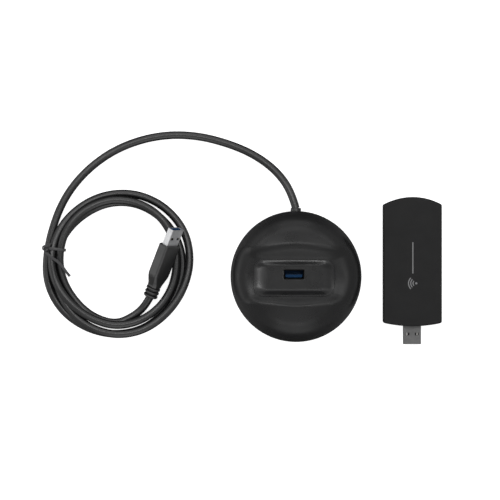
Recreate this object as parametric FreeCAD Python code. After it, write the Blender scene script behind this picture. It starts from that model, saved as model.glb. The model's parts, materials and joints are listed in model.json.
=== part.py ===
import FreeCAD, Part
import math
import os

# A plug-in wireless network adapter with its round desk cradle and captive
# extension cord.  Three things lie on a desk: the ball-shaped cradle with an
# upright type-A port in its pocket, the cord that leaves the cradle's back,
# runs to a tied coil and ends in a type-A plug, and the flat adapter stick.
#
# Millimetres, +Z up.  Origin: the middle of the cradle's rubber foot, on the
# desk.  +Y is the side where the cord leaves, +X is towards the adapter.

V = FreeCAD.Vector

# ---------------------------------------------------------------- dimensions
# cradle body of revolution
CR_R = 44.0          # widest radius
CR_ZW = 17.0         # height of the widest ring
CR_RS = 20.0         # radius of the rounded side
CR_H = 40.5          # height of the two humps at the middle
CR_WALL = 2.2        # wall
CR_Z0 = 0.6          # underside of the base cover
CR_PART = 11.0       # parting line between base and top
# valley between the humps
VAL_Z = 33.2         # floor of the valley at the middle
VAL_R = 400.0        # the floor falls away to both sides on this radius
VAL_TOP = 7.4        # how much further apart the walls stand at their top
# pocket and port
POC_X = -1.6         # pocket's middle
POC_Y = -0.8
POC_FL = (39.9, 16.8)    # pocket floor
POC_RIM = (52.6, 23.6)   # pocket rim
POC_Z = 30.1         # floor height
TRAY_WALL = 1.4      # wall of the pocket's tray
SLOT_Y = 1.5         # middle of the port slot
SLOT = (13.3, 5.9)
PORT_OUT = (13.0, 5.7)
PORT_T = 0.3
PORT_Z0 = 16.2        # board's top face
PORT_Z1 = 27.9
TONGUE = (11.1, 1.84)
# foot, weight, boss pattern
FOOT_R = 30.0
FOOT_T = 1.3
WEIGHT_R = 31.0
WEIGHT_Z = (3.2, 6.7)
BOSS = 18.6          # screw bosses at (+-BOSS, +-BOSS)
# cord
CORD_D = 5.3
EXIT_Z = 9.5         # height of the gland
GLAND_Y = 46.0       # outer face of the gland
# twist-tied coil: its middle, and its outline as (angle, outer radius) etc.
COIL_C = (-120.0, 8.3)
COIL_Z = (0.55, 11.15)
COIL_OUT = [(180, 50.9), (200, 52.1), (220, 51.7), (240, 50.4), (258, 49.5),
            (276, 50.1), (295, 49.7), (315, 49.0), (335, 49.2), (355, 50.4),
            (375, 52.1), (395, 52.2), (415, 51.6), (435, 51.0), (455, 50.0),
            (475, 48.9), (495, 48.5), (508, 47.9)]
COIL_IN = [(0, 36.3), (25, 38.6), (45, 39.5), (70, 39.8), (95, 39.0),
           (120, 37.6), (145, 37.5), (165, 38.3), (185, 36.4), (210, 35.2),
           (235, 36.3), (260, 38.9), (285, 37.9), (310, 37.4), (335, 36.8)]
# plug on the cord
PLUG_E = (-98.35, -13.6, 4.9)   # cord end of its strain relief
PLUG_DIR = (0.364, 0.931)       # plan direction towards the mouth
PLUG_TILT = 16.0
PLUG_ROLL = 58.0
PLUG_W, PLUG_N = 15.2, 7.8      # overmould section
PLUG_FRONT = 39.2
PLUG_MOUTH = 50.9
# type-A plug shell
USB_W, USB_H, USB_T = 12.0, 4.5, 0.3
# adapter stick, lying face up
AD_X = 78.55         # its centre line
AD_W = 39.3
AD_Y0 = -33.5        # lowest point of the plug-end arc
AD_Y1 = 53.5         # highest point of the far-end arc
AD_SAG0 = 2.2
AD_SAG1 = 5.1
AD_T = 15.0
AD_PART = 5.6        # parting line, also the middle of the plug
AD_WALL = 1.5
AD_TIP = -45.8       # plug tip
AD_PCB = (2.35, 3.35)

OUT = "parts"
os.makedirs(OUT, exist_ok=True)


# ------------------------------------------------------------------- helpers
def box(x0, x1, y0, y1, z0, z1):
    return Part.makeBox(x1 - x0, y1 - y0, z1 - z0, V(x0, y0, z0))


def cyl(x, y, z0, z1, r, axis=None):
    if axis is None:
        return Part.makeCylinder(r, z1 - z0, V(x, y, z0))
    return Part.makeCylinder(r, z1 - z0, V(x, y, z0), axis)


def group(shapes):
    return Part.makeCompound(shapes)


def rrect(cx, cy, w, h, r, z):
    """Closed wire of a rounded rectangle at height z."""
    x0, x1, y0, y1 = cx - w / 2, cx + w / 2, cy - h / 2, cy + h / 2
    k = r * (1 - math.sqrt(0.5))
    e = []
    e.append(Part.LineSegment(V(x0 + r, y0, z), V(x1 - r, y0, z)).toShape())
    e.append(Part.Arc(V(x1 - r, y0, z), V(x1 - k, y0 + k, z), V(x1, y0 + r, z)).toShape())
    e.append(Part.LineSegment(V(x1, y0 + r, z), V(x1, y1 - r, z)).toShape())
    e.append(Part.Arc(V(x1, y1 - r, z), V(x1 - k, y1 - k, z), V(x1 - r, y1, z)).toShape())
    e.append(Part.LineSegment(V(x1 - r, y1, z), V(x0 + r, y1, z)).toShape())
    e.append(Part.Arc(V(x0 + r, y1, z), V(x0 + k, y1 - k, z), V(x0, y1 - r, z)).toShape())
    e.append(Part.LineSegment(V(x0, y1 - r, z), V(x0, y0 + r, z)).toShape())
    e.append(Part.Arc(V(x0, y0 + r, z), V(x0 + k, y0 + k, z), V(x0 + r, y0, z)).toShape())
    return Part.Wire(e)


def rprism(cx, cy, w, h, r, z0, z1):
    return Part.Face(rrect(cx, cy, w, h, r, z0)).extrude(V(0, 0, z1 - z0))


def loft(wires):
    return Part.makeLoft(wires, True, True)


def revolve(pts_or_edges):
    return Part.Face(Part.Wire(pts_or_edges)).revolve(V(0, 0, 0), V(0, 0, 1), 360)


def solid_of(shape):
    """One clean solid out of a boolean's result."""
    s = shape.removeSplitter()
    if len(s.Solids) == 1:
        return s.Solids[0]
    big = sorted(s.Solids, key=lambda q: -q.Volume)
    if len(big) > 1 and big[1].Volume < 0.02 * big[0].Volume:
        return big[0]
    return s


def save(shape, name):
    if shape.isNull() or not shape.isValid() or shape.Volume <= 0:
        print("BAD", name, shape.isNull(), shape.isValid(), shape.Volume)
    shape.exportStep(os.path.join(OUT, name + ".step"))
    b = shape.BoundBox
    print("%-24s solids %2d  vol %9.1f  box %.1f %.1f %.1f  %.1f %.1f %.1f" % (
        name, len(shape.Solids), shape.Volume,
        b.XMin, b.YMin, b.ZMin, b.XMax, b.YMax, b.ZMax))


def tube(points, d, name):
    """Straight runs joined by tangent arcs as large as the runs allow."""
    pts = [V(*p) for p in points]
    edges = []
    radii = []
    start = pts[0]
    for i in range(1, len(pts) - 1):
        a, b, c = pts[i - 1], pts[i], pts[i + 1]
        u = (a - b)
        w = (c - b)
        la, lc = u.Length, w.Length
        u.normalize()
        w.normalize()
        turn = math.pi - u.getAngle(w)
        cut = 0.45 * min(la, lc)
        rad = cut / math.tan(turn / 2)
        radii.append(rad)
        p1 = b + u * cut
        p2 = b + w * cut
        bis = u + w
        bis.normalize()
        depth = rad / math.cos(turn / 2) - rad
        mid = b + bis * depth
        if (p1 - start).Length > 1e-6:
            edges.append(Part.LineSegment(start, p1).toShape())
        edges.append(Part.Arc(p1, mid, p2).toShape())
        start = p2
    edges.append(Part.LineSegment(start, pts[-1]).toShape())
    path = Part.Wire(edges)
    t0 = pts[1] - pts[0]
    t0.normalize()
    prof = Part.Wire([Part.Circle(pts[0], t0, d / 2).toShape()])
    body = path.makePipeShell([prof], True, False)
    vol = math.pi * d * d / 4 * path.Length
    runs = [(pts[i + 1] - pts[i]).Length for i in range(len(pts) - 1)]
    print("tube", name, "length %.1f" % path.Length,
          "radii", " ".join("%.0f" % r for r in radii),
          "runs", " ".join("%.1f" % r for r in runs),
          "volume %.1f of %.1f" % (body.Volume, vol))
    return body, path.Length


# -------------------------------------------------------- cradle, both covers
def dome(off, z_low):
    """Body of revolution of the cradle, shrunk by off, from z_low up."""
    cx = CR_R - CR_RS
    rs = CR_RS - off
    h = CR_H
    # cap radius rt that is tangent to the side arc and reaches the height:
    # (rt - CR_RS)^2 = cx^2 + (CR_ZW - h + rt)^2
    rt = (cx * cx + (CR_ZW - h) ** 2 - CR_RS ** 2) / (2 * (h - CR_ZW - CR_RS))
    zc = h - rt
    ro = rt - off
    ang = math.atan2(cx, CR_ZW - zc)
    tang = V(ro * math.sin(ang), 0, zc + ro * math.cos(ang))
    top = V(0, 0, zc + ro)
    capm = V(ro * math.sin(ang / 2), 0, zc + ro * math.cos(ang / 2))
    rl = cx + math.sqrt(rs * rs - (z_low - CR_ZW) ** 2)
    a0 = math.asin((z_low - CR_ZW) / rs)
    a1 = math.pi / 2 - ang
    am = (a0 + a1) / 2
    low = V(rl, 0, z_low)
    mid = V(cx + rs * math.cos(am), 0, CR_ZW + rs * math.sin(am))
    e = [Part.LineSegment(V(0, 0, z_low), low).toShape(),
         Part.Arc(low, mid, tang).toShape(),
         Part.Arc(tang, capm, top).toShape(),
         Part.LineSegment(top, V(0, 0, z_low)).toShape()]
    return revolve(e)


def hourglass(grow, z):
    """Plan outline of the valley: narrow at the pocket, flared to the sides."""
    ym, y1, y2, y3 = 12.4 + grow, 14.1 + grow, 18.4 + grow, 26.0 + grow
    x1, x2, x3 = 29.5, 36.0, 50.0
    up = Part.BSplineCurve()
    up.interpolate([V(-x3, y3, z), V(-x2, y2, z), V(-x1, y1, z), V(0, ym, z),
                    V(x1, y1, z), V(x2, y2, z), V(x3, y3, z)])
    dn = Part.BSplineCurve()
    dn.interpolate([V(x3, -y3, z), V(x2, -y2, z), V(x1, -y1, z), V(0, -ym, z),
                    V(-x1, -y1, z), V(-x2, -y2, z), V(-x3, -y3, z)])
    e = [up.toShape(), Part.LineSegment(V(x3, y3, z), V(x3, -y3, z)).toShape(),
         dn.toShape(), Part.LineSegment(V(-x3, -y3, z), V(-x3, y3, z)).toShape()]
    return Part.Wire(e)


def valley(off):
    """Everything above the valley floor between the humps, grown by off."""
    zlo = 24.0
    rise = CR_H + 2.0 - zlo
    slope = VAL_TOP / (CR_H - VAL_Z)
    w0 = hourglass(off * 1.15 - slope * (VAL_Z - zlo), zlo)
    w1 = hourglass(off * 1.15 + slope * (zlo + rise - VAL_Z), zlo + rise)
    prism = loft([w0, w1])
    floor = Part.makeCylinder(VAL_R - off, 140, V(0, -70, VAL_Z - VAL_R), V(0, 1, 0))
    return prism.cut(floor)


def pocket(off):
    z0, z1 = POC_Z - off, VAL_Z + 0.7
    k = (z1 - POC_Z) / (VAL_Z - 0.4 - POC_Z)
    w = POC_FL[0] + (POC_RIM[0] - POC_FL[0]) * k
    h = POC_FL[1] + (POC_RIM[1] - POC_FL[1]) * k
    lo = rrect(POC_X, POC_Y, POC_FL[0] + 2 * off, POC_FL[1] + 2 * off, 2.2 + off, z0)
    hi = rrect(POC_X, POC_Y, w + 2 * off, h + 2 * off, 6.0 + off, z1)
    return loft([lo, hi])


bosses = [(sx * BOSS, sy * BOSS) for sx in (-1, 1) for sy in (-1, 1)]

gland_hole = Part.makeCylinder(3.65, 12, V(0, 36, EXIT_Z), V(0, 1, 0))
gland_seat = Part.makeCylinder(4.4, 6, V(0, 42.2, EXIT_Z), V(0, 1, 0))

outer = dome(0, CR_Z0)
inner = dome(CR_WALL, 3.0)
above = box(-60, 60, -60, 60, CR_PART, 60)
below = box(-60, 60, -60, 60, -5, CR_PART)

body_top = outer.common(above).cut(valley(0))
cavity = inner.cut(valley(CR_WALL))
for bx, by in bosses:
    cavity = cavity.cut(cyl(bx, by, 0, 60, 3.2))
top = body_top.cut(cavity).cut(pocket(TRAY_WALL + 0.05))
for bx, by in bosses:
    top = top.fuse(cyl(bx, by, 9.0, 14.0, 3.2))
for bx, by in bosses:
    top = top.cut(cyl(bx, by, 8.0, 19.0, 1.05))
slot_cut = rprism(POC_X, SLOT_Y, SLOT[0], SLOT[1], 0.5, POC_Z - 6, POC_Z + 1)
slot_cham = loft([rrect(POC_X, SLOT_Y, SLOT[0], SLOT[1], 0.5, POC_Z - 0.45),
                  rrect(POC_X, SLOT_Y, SLOT[0] + 1.1, SLOT[1] + 1.1, 0.9, POC_Z + 0.1)])
top = top.cut(gland_hole).cut(gland_seat)
top = solid_of(top)
save(top, "cradle_top_cover")
# the pocket is a separate tray, let into the valley floor from below
tray = pocket(TRAY_WALL).common(body_top).cut(pocket(0)).cut(slot_cut).cut(slot_cham)
save(solid_of(tray), "cradle_pocket_tray")

base = outer.common(below).cut(inner)
lip = Part.makeCylinder(40.7, 3.6, V(0, 0, 9.0)).cut(Part.makeCylinder(39.5, 3.6, V(0, 0, 9.0)))
lip = lip.common(outer)
base = base.fuse(lip)
for bx, by in bosses:
    base = base.fuse(cyl(bx, by, 2.5, 9.0, 3.2))
posts = [(POC_X - 12.0, SLOT_Y + 6.5), (POC_X + 12.0, SLOT_Y - 6.5)]
for px, py in posts:
    base = base.fuse(cyl(px, py, 2.5, PORT_Z0 - 1.6, 2.2))
block = box(-8.2, 8.2, 32.4, 36.6, 2.5, 9.3)
base = base.fuse(block.common(outer))
base = base.cut(Part.makeCylinder(2.7, 20, V(0, 25, EXIT_Z), V(0, 1, 0)))
base = base.cut(cyl(0, 0, 0, FOOT_T, FOOT_R + 0.15))
for bx, by in bosses:
    base = base.cut(cyl(bx, by, 0, 9.5, 1.4))
    base = base.cut(cyl(bx, by, 0, 3.4, 2.4))
for px, py in posts:
    base = base.cut(cyl(px, py, PORT_Z0 - 5.6, PORT_Z0, 0.8))
for sx in (-5.8, 5.8):
    base = base.cut(cyl(sx, 34.5, 5.0, 10.0, 0.85))
base = base.cut(gland_hole).cut(gland_seat)
base = solid_of(base)
save(base, "cradle_base_cover")

foot = cyl(0, 0, 0, FOOT_T - 0.02, FOOT_R)
foot = foot.makeFillet(0.35, [e for e in foot.Edges if abs(e.BoundBox.ZMax) < 1e-6 and e.Length > 10])
save(foot, "cradle_foot_pad")

weight = cyl(0, 0, WEIGHT_Z[0], WEIGHT_Z[1], WEIGHT_R)
for bx, by in bosses:
    weight = weight.cut(cyl(bx, by, 0, 9, 3.8))
for px, py in posts:
    weight = weight.cut(cyl(px, py, 0, 9, 2.8))
save(solid_of(weight), "cradle_weight")

screws = []
for bx, by in bosses:
    s = cyl(bx, by, 1.5, 3.35, 2.3).fuse(cyl(bx, by, 3.35, 8.95, 1.3))
    s = s.fuse(cyl(bx, by, 8.95, 17.0, 1.0))
    s = s.cut(box(bx - 1.5, bx + 1.5, by - 0.3, by + 0.3, 1.4, 2.2))
    s = s.cut(box(bx - 0.3, bx + 0.3, by - 1.5, by + 1.5, 1.4, 2.2))
    screws.append(s.removeSplitter())
save(group(screws), "cradle_base_screws")

# -------------------------------------------------------------- port assembly
pcb = rprism(POC_X, SLOT_Y, 32.0, 20.0, 1.5, PORT_Z0 - 1.5, PORT_Z0)
for px, py in posts:
    pcb = pcb.cut(cyl(px, py, 0, 20, 0.95))
pcb = pcb.cut(box(POC_X - 6.9, POC_X - 6.1, SLOT_Y - 1, SLOT_Y + 1, PORT_Z0 - 2, PORT_Z0 + 1))
pcb = pcb.cut(box(POC_X + 6.1, POC_X + 6.9, SLOT_Y - 1, SLOT_Y + 1, PORT_Z0 - 2, PORT_Z0 + 1))
save(solid_of(pcb), "port_board")
ps = []
for px, py in posts:
    ps.append(cyl(px, py, PORT_Z0 + 0.02, PORT_Z0 + 1.2, 1.7).fuse(
        cyl(px, py, PORT_Z0 - 4.4, PORT_Z0 + 0.02, 0.75)).removeSplitter())
save(group(ps), "port_board_screws")

pz0 = PORT_Z0 + 0.02
shell = rprism(POC_X, SLOT_Y, PORT_OUT[0], PORT_OUT[1], 0.5, pz0, PORT_Z1)
shell = shell.cut(rprism(POC_X, SLOT_Y, PORT_OUT[0] - 2 * PORT_T,
                         PORT_OUT[1] - 2 * PORT_T, 0.3, pz0 - 1, PORT_Z1 + 1))
for sx in (-1, 1):      # spring windows in the broad sides, legs in the board
    shell = shell.cut(box(POC_X + sx * 3.2 - 1.0, POC_X + sx * 3.2 + 1.0, SLOT_Y - 4, SLOT_Y + 4,
                          PORT_Z0 + 4.9, PORT_Z0 + 9.4))
    shell = shell.fuse(box(POC_X + sx * 6.35 - 0.15, POC_X + sx * 6.35 + 0.15,
                           SLOT_Y - 0.8, SLOT_Y + 0.8, PORT_Z0 - 1.3, PORT_Z0 + 1.4))
save(solid_of(shell), "port_shell")

tongue_y = SLOT_Y - 1.0
tongue = rprism(POC_X, SLOT_Y, 12.2, 4.9, 0.2, pz0, PORT_Z0 + 1.6)
tongue = tongue.fuse(rprism(POC_X, tongue_y, TONGUE[0], TONGUE[1], 0.4, PORT_Z0 + 1.4, PORT_Z0 + 11.0))
save(solid_of(tongue), "port_tongue")
ct = []
cy0 = tongue_y + TONGUE[1] / 2 + 0.01
for i, x in enumerate((-3.5, -1.0, 1.0, 3.5)):
    ct.append(box(POC_X + x - 0.5, POC_X + x + 0.5, cy0, cy0 + 0.16,
                  PORT_Z0 + 1.8, PORT_Z0 + 7.6))
for x in (-4.0, -2.0, 0.0, 2.0, 4.0):
    ct.append(box(POC_X + x - 0.35, POC_X + x + 0.35, cy0, cy0 + 0.16,
                  PORT_Z0 + 8.4, PORT_Z0 + 10.4))
save(group(ct), "port_contacts")

# --------------------------------------------------- gland, clamp, inner end
gl = Part.makeCylinder(3.5, GLAND_Y - 42.3, V(0, 42.3, EXIT_Z), V(0, 1, 0))
gl = gl.makeFillet(0.6, [e for e in gl.Edges if e.BoundBox.YMin > GLAND_Y - 0.01])
gl = gl.fuse(Part.makeCylinder(4.3, 0.9, V(0, 42.3, EXIT_Z), V(0, 1, 0)))
gl = gl.fuse(Part.makeCylinder(3.55, 4.4, V(0, 37.9, EXIT_Z), V(0, 1, 0)))
gl = gl.fuse(Part.makeCylinder(4.4, 1.15, V(0, 36.8, EXIT_Z), V(0, 1, 0)))
gl = gl.cut(Part.makeCylinder(2.7, 12, V(0, 36, EXIT_Z), V(0, 1, 0)))
gl = gl.cut(base).cut(top)
gl = max(gl.Solids, key=lambda s: s.Volume)
save(solid_of(gl), "cord_gland")
inner_end = Part.makeCylinder(CORD_D / 2, GLAND_Y - 27.0, V(0, 27.0, EXIT_Z), V(0, 1, 0))
save(inner_end, "cord_inner_end")
clamp = box(-8.0, 8.0, 32.5, 36.5, 9.6, 13.4)
clamp = clamp.cut(Part.makeCylinder(2.68, 20, V(0, 25, EXIT_Z), V(0, 1, 0)))
for sx in (-5.8, 5.8):
    clamp = clamp.cut(cyl(sx, 34.5, 9, 14, 1.1))
save(solid_of(clamp), "cord_clamp")
cs = []
for sx in (-5.8, 5.8):
    cs.append(cyl(sx, 34.5, 13.42, 14.7, 1.7).fuse(cyl(sx, 34.5, 5.6, 13.42, 0.8)).removeSplitter())
save(group(cs), "cord_clamp_screws")
wires = []
for i in range(5):
    x = -1.8 + 0.9 * i
    w0, w1 = V(x, 10.2, PORT_Z0 + 0.95), V(x, 26.75, 10.3)
    wires.append(Part.makeCylinder(0.4, (w1 - w0).Length, w0, w1 - w0))
save(group(wires), "port_wires")

# ------------------------------------------------------------------ cord lead
# from the gland along a wide arc on the desk to where it joins the coil
def polar(c, a, r, z):
    t = math.radians(a)
    return (c[0] + r * math.cos(t), c[1] + r * math.sin(t), z)


LEAD = [(0.0, 46.0, 9.5), (-3.2, 57.8, 9.0), (-13.5, 71.8, 5.8),
        (-28.3, 82.6, 3.0), (-45.6, 89.9, 2.75), (-65.0, 94.9, 2.75),
        (-85.0, 96.0, 2.75), (-104.8, 92.6, 2.75), (-123.8, 84.9, 2.75),
        (-140.6, 72.7, 2.75), (-153.8, 57.4, 2.75), (-162.6, 39.6, 2.75),
        (-165.9, 25.0, 2.75)]
lead, lead_len = tube(LEAD, CORD_D, "lead")
lead = solid_of(lead.cut(inner_end))
save(lead, "cord_lead")

# ------------------------------------------------------------------ cord coil
jx, jy = LEAD[-1][0], LEAD[-1][1]
dx, dy = LEAD[-1][0] - LEAD[-2][0], LEAD[-1][1] - LEAD[-2][1]
dl = math.hypot(dx, dy)
dx, dy = dx / dl, dy / dl
half = CORD_D / 2 + 0.3
o_pt = V(jx + dy * half, jy - dx * half, COIL_Z[0])
i_pt = V(jx - dy * half, jy + dx * half, COIL_Z[0])
pts = [o_pt] + [V(*polar(COIL_C, a, r, COIL_Z[0])) for a, r in COIL_OUT] + [i_pt]
cur = Part.BSplineCurve()
cur.interpolate(pts)
ow = Part.Wire([cur.toShape(), Part.LineSegment(i_pt, o_pt).toShape()])
icur = Part.BSplineCurve()
icur.interpolate([V(*polar(COIL_C, a, r, COIL_Z[0])) for a, r in COIL_IN], True)
iw = Part.Wire([icur.toShape()])
hgt = COIL_Z[1] - COIL_Z[0]
coil = Part.Face(ow).extrude(V(0, 0, hgt)).cut(Part.Face(iw).extrude(V(0, 0, hgt)))

# ------------------------------------------------------------------ twist tie
TIE_A = 166.5
tr0, tr1 = 37.9, 52.2
win = box(tr0, tr1, -3, 3, COIL_Z[0] - 0.05, COIL_Z[1] + 0.05)
ring = box(tr0 - 0.5, tr1 + 0.5, -1.0, 1.0, 0.02, COIL_Z[1] + 0.6)
knot = Part.makeSphere(1.7, V(tr1 + 1.4, 0, 8.2))
tie = ring.cut(win).fuse(knot)
tie.rotate(V(0, 0, 0), V(0, 0, 1), TIE_A)
tie.translate(V(COIL_C[0], COIL_C[1], 0))
TAIL = [(-170.6, 21.0, 8.6), (-169.9, 19.2, 11.9), (-166.2, 15.0, 12.55),
        (-160.2, 8.7, 12.6), (-154.2, 2.6, 12.1), (-151.6, -0.9, 11.0)]
twist, tl = tube(TAIL, 1.5, "tie tail")
tie = solid_of(tie.fuse(twist).cut(coil))
save(tie, "twist_tie")

# ----------------------------------------------------------------------- plug
th = math.radians(PLUG_TILT)
ph = math.radians(PLUG_ROLL)
ax = V(PLUG_DIR[0] * math.cos(th), PLUG_DIR[1] * math.cos(th), math.sin(th))
upv = V(-PLUG_DIR[0] * math.sin(th), -PLUG_DIR[1] * math.sin(th), math.cos(th))
rt = V(PLUG_DIR[1], -PLUG_DIR[0], 0)
bb = upv * math.sin(ph) - rt * math.cos(ph)
nn = upv * math.cos(ph) + rt * math.sin(ph)
# local x = broad way, local y = narrow way, local z = towards the mouth
yy = ax.cross(bb)
if yy.dot(nn) < 0:
    print("plug frame is mirrored, using its own third axis")
M = FreeCAD.Matrix(bb.x, yy.x, ax.x, PLUG_E[0],
                   bb.y, yy.y, ax.y, PLUG_E[1],
                   bb.z, yy.z, ax.z, PLUG_E[2], 0, 0, 0, 1)


def place(s):
    return s.transformed(M)


# the turns give way to the plug, which lies on them
room = Part.makeBox(15.8, 8.4, 44.0, V(-7.9, -4.2, 7.3))
room = room.fuse(Part.makeCylinder(4.95, 7.6, V(0, 0, -0.1)))
coil = solid_of(coil.cut(place(room)))
save(coil, "cord_coil")


def oct_wire(w, h, c, z):
    """Rectangle with cut corners."""
    p = [V(-w / 2 + c, -h / 2, z), V(w / 2 - c, -h / 2, z), V(w / 2, -h / 2 + c, z),
         V(w / 2, h / 2 - c, z), V(w / 2 - c, h / 2, z), V(-w / 2 + c, h / 2, z),
         V(-w / 2, h / 2 - c, z), V(-w / 2, -h / 2 + c, z)]
    return Part.makePolygon(p + [p[0]])


om = Part.makeLoft([oct_wire(9.2, 7.6, 2.0, 7.6), oct_wire(12.0, PLUG_N, 1.5, 12.4),
                    oct_wire(PLUG_W, PLUG_N, 1.0, 18.4)], True, True)
om = om.fuse(Part.makeLoft([oct_wire(PLUG_W, PLUG_N, 1.0, 18.4),
                            oct_wire(PLUG_W, PLUG_N, 1.0, PLUG_FRONT - 0.7)], True, True))
om = om.fuse(Part.makeLoft([oct_wire(PLUG_W, PLUG_N, 1.0, PLUG_FRONT - 0.7),
                            oct_wire(PLUG_W - 1.2, PLUG_N - 1.2, 1.0, PLUG_FRONT)], True, True))
om = om.cut(box(-USB_W / 2 - 0.03, USB_W / 2 + 0.03, -USB_H / 2 - 0.03, USB_H / 2 + 0.03,
                PLUG_FRONT - 6.5, PLUG_FRONT + 1))
save(place(solid_of(om)), "plug_overmould")

sr = Part.makeCylinder(3.8, 7.5, V(0, 0, 0.08))
for z0 in (0.05, 2.75, 5.45):
    r1 = Part.makeCylinder(4.65, 1.75, V(0, 0, z0))
    r1 = r1.makeFillet(0.4, [e for e in r1.Edges if e.Length > 20 and e.BoundBox.ZLength < 0.01])
    sr = sr.fuse(r1)
save(place(solid_of(sr)), "plug_strain_relief")


def plug_shell(z0, z1, hole_from_tip):
    s = rprism(0, 0, USB_W, USB_H, 0.45, z0, z1)
    s = s.cut(rprism(0, 0, USB_W - 2 * USB_T, USB_H - 2 * USB_T, 0.2, z0 + 0.3, z1 + 1))
    for sx in (-3.1, 3.1):
        h = box(sx - 1.3, sx + 1.3, -4, 4, z1 - hole_from_tip - 0.9, z1 - hole_from_tip + 0.9)
        s = s.cut(h)
    return solid_of(s)


def plug_core(z0, z1):
    return rprism(0, -(USB_H - 2 * USB_T) / 2 + 0.97, USB_W - 2 * USB_T - 0.1, 1.84, 0.15, z0, z1)


def plug_contacts(z0, z1):
    y0 = -(USB_H - 2 * USB_T) / 2 + 0.97 + 0.93
    g = []
    for x, l in ((-3.5, 7.4), (-1.0, 6.4), (1.0, 6.4), (3.5, 7.4)):
        g.append(box(x - 0.5, x + 0.5, y0, y0 + 0.15, z1 - 1.2 - l, z1 - 1.2))
    for x in (-4.0, -2.0, 0.0, 2.0, 4.0):
        g.append(box(x - 0.35, x + 0.35, y0, y0 + 0.3, z1 - 10.8, z1 - 9.2))
    return group(g)


save(place(plug_shell(PLUG_FRONT - 6.4, PLUG_MOUTH, 6.6)), "plug_shell")
save(place(plug_core(PLUG_FRONT - 6.0, PLUG_MOUTH - 0.5)), "plug_insulator")
save(place(plug_contacts(PLUG_FRONT - 6.0, PLUG_MOUTH - 0.5)), "plug_contacts")

# tail: from the coil to the plug's strain relief
ends = V(*PLUG_E)
TAILPTS = [tuple(ends), tuple(ends - ax * 6.5 + V(0, 0, 0.05)),
           (-104.9, -23.7, 2.72), (-110.4, -28.4, 2.7)]
tail, tail_len = tube(TAILPTS, CORD_D, "tail")
tail = tail.cut(coil)
tail = solid_of(tail)
save(tail, "cord_tail")

# -------------------------------------------------------------- adapter stick
def stick(inset, z0, z1, arc_in=0.0):
    """Outline with one flat arc at each end, as a prism."""
    w = AD_W / 2 - inset
    y0c, y0m = AD_Y0 + AD_SAG0 + inset, AD_Y0 + inset
    y1c, y1m = AD_Y1 - AD_SAG1 - inset, AD_Y1 - inset
    e = [Part.Arc(V(AD_X - w, y0c, z0), V(AD_X, y0m, z0), V(AD_X + w, y0c, z0)).toShape(),
         Part.LineSegment(V(AD_X + w, y0c, z0), V(AD_X + w, y1c, z0)).toShape(),
         Part.Arc(V(AD_X + w, y1c, z0), V(AD_X, y1m, z0), V(AD_X - w, y1c, z0)).toShape(),
         Part.LineSegment(V(AD_X - w, y1c, z0), V(AD_X - w, y0c, z0)).toShape()]
    return Part.Face(Part.Wire(e)).extrude(V(0, 0, z1 - z0))


def rounded_stick():
    s = stick(0, 0, AD_T)
    vert = [e for e in s.Edges if abs(e.BoundBox.ZLength - AD_T) < 1e-3]
    s = s.makeFillet(1.4, vert)
    topb = [e for e in s.Edges if e.BoundBox.ZLength < 1e-3]
    return s.makeFillet(1.1, topb)


full = rounded_stick()
hollow = stick(AD_WALL, AD_WALL, AD_T - AD_WALL)
hollow = hollow.makeFillet(0.8, [e for e in hollow.Edges if abs(e.BoundBox.ZLength - (AD_T - 2 * AD_WALL)) < 1e-3])
plug_cut = box(AD_X - USB_W / 2 - 0.08, AD_X + USB_W / 2 + 0.08, AD_Y0 - 5, AD_Y0 + 6,
               AD_PART - USB_H / 2 - 0.08, AD_PART + USB_H / 2 + 0.08)
cov = full.cut(hollow).cut(plug_cut)
pads = [(AD_X - 15.0, -24.0), (AD_X + 15.0, -24.0), (AD_X - 15.0, 28.0), (AD_X + 15.0, 28.0)]
rear = cov.common(box(40, 120, -60, 80, -1, AD_PART))
rlip = stick(AD_WALL + 0.0, 4.0, AD_PART + 1.2).cut(stick(AD_WALL + 0.7, 3.0, AD_PART + 2.2))
rlip = rlip.cut(stick(0, AD_PART, AD_PART + 3).cut(stick(AD_WALL + 0.12, AD_PART, AD_PART + 3)))
rear = rear.fuse(rlip.cut(plug_cut).cut(box(AD_X - 9, AD_X + 9, -34, -30, 3, 9)))
for px, py in pads:
    rear = rear.fuse(cyl(px, py, 1.2, AD_PCB[0], 2.0))
for px, py in (pads[0], pads[3]):
    rear = rear.cut(cyl(px, py, 0.9, 3.0, 0.65))
rear = solid_of(rear)
save(rear, "adapter_rear_cover")
front = cov.common(box(40, 120, -60, 80, AD_PART, AD_T + 1))
for px, py in (pads[1], pads[2]):     # posts that hold the board down
    front = front.fuse(cyl(px, py, AD_PCB[1] + 0.05, AD_T - 1.0, 1.6))
front = solid_of(front)
save(front, "adapter_front_cover")

board = stick(AD_WALL + 0.9, AD_PCB[0], AD_PCB[1])
board = board.cut(box(40, 120, 47.0, 80, 0, 9))
for px, py in (pads[0], pads[3]):
    board = board.cut(cyl(px, py, 0, 9, 0.8))
save(solid_of(board), "adapter_board")
bs = []
for px, py in (pads[0], pads[3]):
    bs.append(cyl(px, py, AD_PCB[1] + 0.02, AD_PCB[1] + 0.9, 1.4).fuse(
        cyl(px, py, 1.0, AD_PCB[1] + 0.02, 0.6)).removeSplitter())
save(group(bs), "adapter_board_screws")

# the plug points to -Y, with its contacts facing up
MA_OK = FreeCAD.Matrix(1, 0, 0, AD_X,
                       0, 0, -1, 0,
                       0, 1, 0, AD_PART, 0, 0, 0, 1)
sh = plug_shell(28.2, -AD_TIP, 6.9).transformed(MA_OK)
save(sh, "adapter_plug_shell")
save(plug_core(28.7, -AD_TIP - 0.5).transformed(MA_OK), "adapter_plug_insulator")
save(plug_contacts(28.7, -AD_TIP - 0.5).transformed(MA_OK), "adapter_plug_contacts")

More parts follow.
